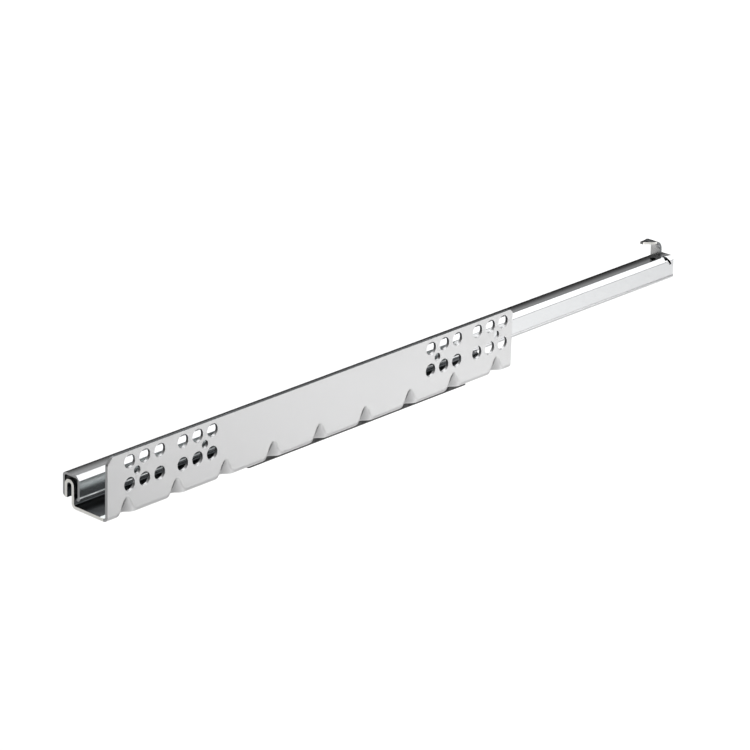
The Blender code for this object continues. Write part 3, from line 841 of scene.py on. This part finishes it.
def ball_places():
    """Row, middle and direction away from the track of every ball."""
    corner_r = RAIL_CORNER_R - RAIL_SHEET / 2
    crown_r = TRACK_R + SHEET / 2
    rise = RAIL_TOP_Z - RAIL_SHEET / 2 - corner_r - TRACK_CENTRE_Z
    pitch = (CAGE_X[1] - CAGE_X[0] - 2 * BALL_MARGIN) / (BALLS_PER_ROW - 1)
    places = []
    for row, wall, side in (("near", RAIL_NEAR_Y, 1.0), ("far", RAIL_FAR_Y, -1.0)):
        corner = Vector((wall + side * (RAIL_SHEET / 2 + corner_r) - TRACK_Y, rise))
        offset = corner.normalized() * (crown_r + corner.length + corner_r) / 2
        for index in range(BALLS_PER_ROW):
            spot = (CAGE_X[0] + BALL_MARGIN + pitch * index, TRACK_Y + offset.x, TRACK_CENTRE_Z + offset.y)
            places.append((row, spot, offset))
    return places


def ball_cage():
    """Strip between the rails with a round pocket for every ball."""
    cage = prism(guide_outline(), *CAGE_X, "x")
    pockets = []
    for _, spot, outward in ball_places():
        bm = bmesh.new()
        turn = Vector((0.0, outward.x, outward.y)).to_track_quat("Z", "Y").to_matrix().to_4x4()
        radius = BALL_POCKET_R / 1000.0
        bmesh.ops.create_cone(
            bm, cap_ends=True, segments=28, radius1=radius, radius2=radius,
            depth=BALL_POCKET_DEPTH / 1000.0, matrix=Matrix.Translation(at(*spot)) @ turn,
        )
        pockets.append(to_object(bm))
    combine(cage, [merged(pockets)], "DIFFERENCE")
    return ease(cage, 0.12)


def ball_row(row):
    """One row of ground balls, each with the two small flats that the heading dies leave."""
    bm = bmesh.new()
    for name, spot, outward in ball_places():
        if name != row:
            continue
        turn = Vector((0.35, outward.x, outward.y)).to_track_quat("Z", "Y").to_matrix().to_4x4()
        made = bmesh.ops.create_icosphere(
            bm, subdivisions=4, radius=BALL_R / 1000.0, matrix=Matrix.Translation(at(*spot)) @ turn
        )
        axis = turn.to_3x3() @ Vector((0.0, 0.0, 1.0))
        limit = BALL_R * BALL_FLAT / 1000.0
        for vertex in made["verts"]:
            reach = (vertex.co - at(*spot)).dot(axis)
            if abs(reach) > limit:
                vertex.co -= axis * (abs(reach) - limit) * (1.0 if reach > 0 else -1.0)
    return ease(to_object(bm), 0.0)


def stop_block(span):
    """Moulded stop with a shallow groove across its near side."""
    block = prism(guide_outline(), *span, "x")
    middle = (span[0] + span[1]) / 2
    groove = box((middle - 0.3, middle + 0.3), (20.0, 20.45), (CAGE_LEG_BOTTOM + 0.8, 13.4))
    combine(block, [groove], "DIFFERENCE")
    return ease(block, 0.15, segments=3)


# ---------------------------------------------------------------- self-closing unit
def closer_housing():
    """Open tray under the trough's floor, with two split posts that snap into it."""
    low, high = HOUSING_Z
    outline = fillet_path(
        [
            (HOUSING_X[0] + 5.0, HOUSING_Y[0]),
            (HOUSING_X[0], HOUSING_Y[0]),
            (HOUSING_X[0], HOUSING_Y[1]),
            (HOUSING_X[1], HOUSING_Y[1]),
            (HOUSING_X[1], HOUSING_Y[0]),
            (HOUSING_X[1] - 5.0, HOUSING_Y[0]),
        ],
        [HOUSING_CORNER_R] * 4,
        6,
    )
    tray = prism(outline, low, high, "z")
    inner_y = (HOUSING_Y[0] + HOUSING_WALL, HOUSING_Y[1] - HOUSING_WALL)
    recesses = [box(BAY_X, inner_y, (low + HOUSING_WALL, high + 1.0))]
    for index in range(RECESS_COUNT):
        start = BAY_X[0] + 3.0 + index * RECESS_PITCH
        length = (start, start + RECESS_LENGTH)
        recesses.append(box(length, (HOUSING_Y[0] - 1.0, HOUSING_Y[0] + 0.3), (low + 1.0, high - 1.0)))
        recesses.append(box(length, (HOUSING_Y[0] + 2.0, HOUSING_Y[1] - 2.0), (low - 1.0, low + 0.3)))
    combine(tray, [merged(recesses)], "DIFFERENCE")
    parts = [ease(tray, 0.18)]
    for x in POST_X:
        top = SHEET + 1.0
        profile = [(high - 0.4, POST_R + 0.25), (high - 0.02, POST_R), (SHEET + GAP, POST_R)]
        profile += [(SHEET + GAP, POST_R + 0.6), (SHEET + GAP + 0.2, POST_R + 0.8)]
        profile += [(top - 0.25, POST_R + 0.45), (top, POST_R - 0.2)]
        post = turned(profile, (x, POST_Y), "z")
        split = box((x - 0.25, x + 0.25), (POST_Y - 4.0, POST_Y + 4.0), (high + 0.5, top + 1.0))
        parts.append(ease(combine(post, [split], "DIFFERENCE"), 0.05, segments=1))
    return ease(merged(parts), 0.0)


def catch_slider():
    """Block that slides in the tray, ribbed on top, bored for the lever's pin and the damper's rod."""
    (front, rear), (low, high) = SLIDER_X, SLIDER_Z
    outline = [(front + 1.0, low), (rear, low), (rear, high), (front + 1.0, high), (front, high - 1.0)]
    outline.append((front, low + 1.0))
    block = prism(outline, *SLIDER_Y, "y")
    x, z = PAWL_PIVOT
    tools = [
        rod((x, z), PIN_R + GAP, SLIDER_Y[1] - 4.3, SLIDER_Y[1] + 1.0, "y", 32),
        box((front + 5.0, rear - 12.0), (SLIDER_Y[0] + 1.6, SLIDER_Y[1] - 1.6), (-2.6, 0.0)),
    ]
    combine(block, [merged(tools)], "DIFFERENCE")
    combine(block, [rod(DAMPER_YZ, PLUNGER_R + GAP, rear - 3.3, rear + 1.0, "x", 32)], "DIFFERENCE")
    ribs = []
    for index in range(3):
        x = front + 10.0 + index * 6.0
        ribs.append(box((x, x + 0.8), (SLIDER_Y[0] + 1.2, SLIDER_Y[1] - 1.2), (-3.0, high - 0.4)))
    combine(block, [merged(ribs)], "UNION")
    return ease(block, 0.16)


def catch_pawl():
    """Lever with two horns that stand on either side of the tab when it is raised."""
    x, z = PAWL_PIVOT
    tail = arc(x, z, 1.7, -90.0, 90.0, 16)
    outline = [(TAB_X - 4.0, z - 1.3), (x - 4.0, z - 1.3)] + tail + [(x - 4.0, z + 1.0)]
    outline += [
        (TAB_X + 3.7, z + 1.0),
        (TAB_X + 3.7, 1.2),
        (TAB_X + 3.1, 1.75),
        (TAB_X + 1.6, 1.75),
        (TAB_X + 1.6, 0.2),
        (TAB_X - 1.6, 0.2),
        (TAB_X - 1.6, 1.6),
        (TAB_X - 3.2, 1.6),
        (TAB_X - 4.0, 0.9),
    ]
    lever = prism(outline, *PAWL_Y, "y")
    hole = rod((x, z), PIN_R + 0.05, PAWL_Y[0] - 1.0, PAWL_Y[1] + 1.0, "y", 32)
    web = box((TAB_X + 6.0, x - 5.0), (PAWL_Y[1] - 0.5, PAWL_Y[1] + 1.0), (z - 0.7, z + 0.45))
    combine(lever, [merged([hole, web])], "DIFFERENCE")
    return ease(lever, 0.12)


def pull_spring():
    """Tension spring: close-wound helix with a straight leg on its axis at each end."""
    y, z = SPRING_YZ
    low, high = SPRING_X[0] + 3.0, SPRING_X[1] - 3.0
    points = [(SPRING_X[0], y, z), (SPRING_X[0] + 1.8, y, z)]
    total = SPRING_TURNS * SPRING_STEPS
    for index in range(total + 1):
        angle = 2.0 * math.pi * index / SPRING_STEPS
        along = low + (high - low) * index / total
        radius = SPRING_COIL_R * min(1.0, index / SPRING_STEPS + 0.15, (total - index) / SPRING_STEPS + 0.15)
        points.append((along, y + radius * math.cos(angle), z + radius * math.sin(angle)))
    points += [(SPRING_X[1] - 1.8, y, z), (SPRING_X[1], y, z)]
    data = bpy.data.curves.new("spring", "CURVE")
    data.dimensions = "3D"
    data.bevel_depth = SPRING_WIRE_R / 1000.0
    data.bevel_resolution = 3
    data.use_fill_caps = True
    line = data.splines.new("POLY")
    line.points.add(len(points) - 1)
    for vertex, point in zip(line.points, points):
        vertex.co = (*at(*point), 1.0)
    curve = bpy.data.objects.new("spring_line", data)
    bpy.context.scene.collection.objects.link(curve)
    mesh = finished_mesh(curve)
    bpy.data.objects.remove(curve, do_unlink=True)
    bm = bmesh.new()
    bm.from_mesh(mesh)
    return ease(to_object(bm), 0.0)


def activator_tab():
    """Plate riveted inside the drawer rail's near wall, with the finger that the catch holds."""
    outline = [
        (TAB_X - 1.1, TAB_BOTTOM),
        (TAB_X + 1.1, TAB_BOTTOM),
        (TAB_X + 1.1, 5.0),
        (TAB_X + 5.0, 7.0),
        (TAB_X + 5.0, 12.6),
        (TAB_X - 5.0, 12.6),
        (TAB_X - 5.0, 7.0),
        (TAB_X - 1.1, 5.0),
    ]
    tab = prism(outline, *TAB_Y, "y")
    combine(tab, [rod((TAB_X, RIVET_Z), RIVET_R + GAP, 16.0, 20.0, "y", 32)], "DIFFERENCE")
    return ease(tab, 0.12, angle=40.0, material=1)


def activator_rivet():
    """Domed rivet through the tab and the drawer rail's near wall."""
    front = TAB_Y[0] - 0.9
    dome = ((0.0, 0.7), (0.06, 1.15), (0.2, 1.55), (0.4, 1.77), (0.6, 1.8), (0.6, RIVET_R))
    profile = [(front + depth, radius) for depth, radius in dome]
    profile += [(19.3, RIVET_R), (19.6, RIVET_R - 0.2)]
    return ease(turned(profile, (TAB_X, RIVET_Z), "y"), 0.0, smooth=50.0)


def pin(span, radius, centre, along):
    """Turned pin with a small chamfer at each end."""
    (low, high), chamfer = span, 0.15
    profile = [(low, radius - chamfer), (low + chamfer, radius)]
    profile += [(high - chamfer, radius), (high, radius - chamfer)]
    return ease(turned(profile, centre, along), 0.0)


def damper_tube():
    """Bored cylinder with a groove near its front end."""
    low, high = DAMPER_X
    profile = [(low, DAMPER_R - 0.25), (low + 0.2, DAMPER_R - 0.05), (low + 1.6, DAMPER_R - 0.05)]
    profile += [(low + 1.7, DAMPER_R - 0.3), (low + 2.3, DAMPER_R - 0.3), (low + 2.4, DAMPER_R)]
    profile += [(high - 0.3, DAMPER_R), (high, DAMPER_R - 0.3)]
    bore = rod(DAMPER_YZ, DAMPER_BORE_R, low - 1.0, high - 1.0, "x")
    tube = combine(turned(profile, DAMPER_YZ, "x"), [bore], "DIFFERENCE")
    return ease(tube, 0.0, smooth=40.0)


# ---------------------------------------------------------------- build
def build():
    """Make every visible piece, tie each but the return spring to its body, and hide the CAD pieces they stand
    for.
    """
    dress(
        cabinet_rail(), "cabinet_rail_sheet", "cabinet_side", ["cabinet_rail"],
        [ZINC, SHEARED_PAINTED_LIGHT, WORN, SHEARED_PAINTED_SHADE, PAINTED_SHADE_ZINC, INNER_PAINTED_LIGHT, DART_PAINTED_SHADE],
    )
    dress(
        drawer_rail(), "drawer_rail_sheet", "drawer_side", ["drawer_rail"],
        [RAIL_ZINC, SHEARED_PAINTED_LIGHT, WORN, SHEARED_PAINTED_SHADE, PAINTED_SHADE_ZINC, TONGUE],
    )
    front_stop, rear_stop = stop_block(FRONT_STOP_X), stop_block(REAR_STOP_X)
    dress(front_stop, "front_stop_block", "cabinet_side", ["front_stop"], [BLACK])
    dress(rear_stop, "rear_stop_block", "drawer_side", ["rear_stop"], [BLACK])
    dress(ball_cage(), "cage_strip", "cage", ["ball_cage"], [CAGE])
    for row in ("near", "far"):
        nodes = [f"ball_{row}_{index + 1:02d}" for index in range(BALLS_PER_ROW)]
        dress(ball_row(row), f"balls_{row}", "cage", nodes, [BALLS])
    dress(closer_housing(), "housing_tray", "cabinet_side", ["closer_housing"], [BLACK])
    dress(catch_slider(), "slider_block", "catch", ["catch_slider"], [GREY])
    dress(catch_pawl(), "pawl_lever", "pawl", ["catch_pawl"], [PAWL])
    pivot = pin((SLIDER_Y[1] - 4.0, PAWL_Y[1]), PIN_R, PAWL_PIVOT, "y")
    dress(pivot, "pawl_pin_turned", "catch", ["pawl_pin"], [TURNED])
    dress(damper_tube(), "damper_tube", "cabinet_side", ["damper_cylinder"], [GREY])
    plunger = pin((SLIDER_X[1] - 3.0, DAMPER_X[1] - 1.4), PLUNGER_R, DAMPER_YZ, "x")
    dress(plunger, "damper_plunger", "catch", ["damper_rod"], [PINS])
    spring = pull_spring()
    spring.name = spring.data.name = "return_spring"
    spring.data.materials.append(PINS)
    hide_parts("pull_spring")
    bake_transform(spring)
    dress(activator_tab(), "activator_plate", "drawer_side", ["activator_tab"], [ZINC, WORN])
    dress(activator_rivet(), "rivet_dome", "drawer_side", ["activator_rivet"], [RAIL_ZINC])


# ---------------------------------------------------------------- studio
def area(name, place, target, size, power):
    """Rectangular light that the camera doesn't see."""
    data = bpy.data.lights.new(name, "AREA")
    data.shape = "RECTANGLE"
    data.size, data.size_y = size
    data.energy = power
    lamp = bpy.data.objects.new(name, data)
    bpy.context.scene.collection.objects.link(lamp)
    lamp.visible_camera = False
    lamp.location = place
    lamp.rotation_mode = "QUATERNION"
    lamp.rotation_quaternion = (Vector(target) - Vector(place)).to_track_quat("-Z", "Y")
    return lamp


def lay_floor():
    """Pale disc under the slide, stretched away from the camera."""
    bm = bmesh.new()
    bmesh.ops.create_circle(bm, cap_ends=True, segments=96, radius=FLOOR_R)
    floor = to_object(bm, "floor")
    away = math.radians(90.0 - CAMERA_ANGLES[0])
    floor.location = (MIDDLE_X + FLOOR_SHIFT * math.cos(away), FLOOR_SHIFT * math.sin(away), FLOOR_Z)
    floor.rotation_euler = (0.0, 0.0, away)
    floor.scale = (1.0 + FLOOR_SHIFT / FLOOR_R, 1.0, 1.0)
    pale = bpy.data.materials.new("floor_pale")
    pale.use_nodes = True
    matt = pale.node_tree.nodes["Principled BSDF"].inputs
    matt["Base Color"].default_value = (FLOOR_GREY, FLOOR_GREY, FLOOR_GREY, 1.0)
    matt["Roughness"].default_value = 0.9
    matt["Specular IOR Level"].default_value = 0.1
    floor.data.materials.append(pale)


def set_lights():
    """Broad light from above, two keys from the flange's side and a small lamp close to the floor."""
    middle = (MIDDLE_X, 0.0, 0.0)
    area("overhead", OVERHEAD_PLACE, (*OVERHEAD_PLACE[:2], 0.0), OVERHEAD_SIZE, OVERHEAD_POWER)
    area("key_low", KEY_LOW_PLACE, middle, KEY_LOW_SIZE, KEY_LOW_POWER)
    area("key_high", KEY_HIGH_PLACE, middle, KEY_HIGH_SIZE, KEY_HIGH_POWER)
    pool = area("pool", POOL_PLACE, (*POOL_PLACE[:2], FLOOR_Z), POOL_SIZE, POOL_POWER)
    pool.data.spread = math.radians(POOL_SPREAD)


def surround():
    """Grey surroundings: dark up to 15 degrees above the horizon, light above that, even towards -Y."""
    world = bpy.data.worlds.new("studio")
    world.use_nodes = True
    bpy.context.scene.world = world
    tree = world.node_tree
    coords = tree.nodes.new("ShaderNodeTexCoord")
    split = tree.nodes.new("ShaderNodeSeparateXYZ")
    tree.links.new(coords.outputs["Generated"], split.inputs["Vector"])
    ramp = tree.nodes.new("ShaderNodeValToRGB")
    stops = ramp.color_ramp.elements
    while len(stops) < len(WORLD_STOPS):
        stops.new(0.5)
    for stop, (height, value) in zip(stops, WORLD_STOPS):
        stop.position = height
        stop.color = (value, value, value, 1.0)
    tree.links.new(split.outputs["Z"], ramp.inputs["Fac"])
    side = tree.nodes.new("ShaderNodeMapRange")
    side.inputs["From Min"].default_value = WORLD_FRONT_Y[0]
    side.inputs["From Max"].default_value = WORLD_FRONT_Y[1]
    tree.links.new(split.outputs["Y"], side.inputs["Value"])
    blend = tree.nodes.new("ShaderNodeMix")
    blend.data_type = "RGBA"
    colours = [socket for socket in blend.inputs if socket.type == "RGBA"]
    colours[1].default_value = (WORLD_FRONT, WORLD_FRONT, WORLD_FRONT, 1.0)
    tree.links.new(side.outputs["Result"], blend.inputs["Factor"])
    tree.links.new(ramp.outputs["Color"], colours[0])
    mixed = [socket for socket in blend.outputs if socket.type == "RGBA"][0]
    tree.links.new(mixed, tree.nodes["Background"].inputs["Color"])


def set_camera():
    """The photo's camera, solved from the hole pattern."""
    camera = bpy.data.cameras.new("camera")
    camera.lens = CAMERA_LENS
    camera.sensor_width = CAMERA_SENSOR
    camera.clip_start = 0.05
    camera.clip_end = 60.0
    camera.dof.use_dof = False
    eye = bpy.data.objects.new("camera", camera)
    bpy.context.scene.collection.objects.link(eye)
    azimuth, elevation, roll = (math.radians(angle) for angle in CAMERA_ANGLES)
    level = math.cos(elevation)
    gaze = Vector((math.sin(azimuth) * level, math.cos(azimuth) * level, -math.sin(elevation)))
    eye.location = CAMERA_PLACE
    eye.rotation_mode = "QUATERNION"
    eye.rotation_quaternion = gaze.to_track_quat("-Z", "Y") @ Quaternion((0.0, 0.0, 1.0), roll)
    bpy.context.scene.camera = eye


def studio():
    """Floor, lights, surroundings and camera."""
    view = bpy.context.scene.view_settings
    view.view_transform = "Standard"
    view.look = "None"
    lay_floor()
    set_lights()
    surround()
    set_camera()


build()
studio()
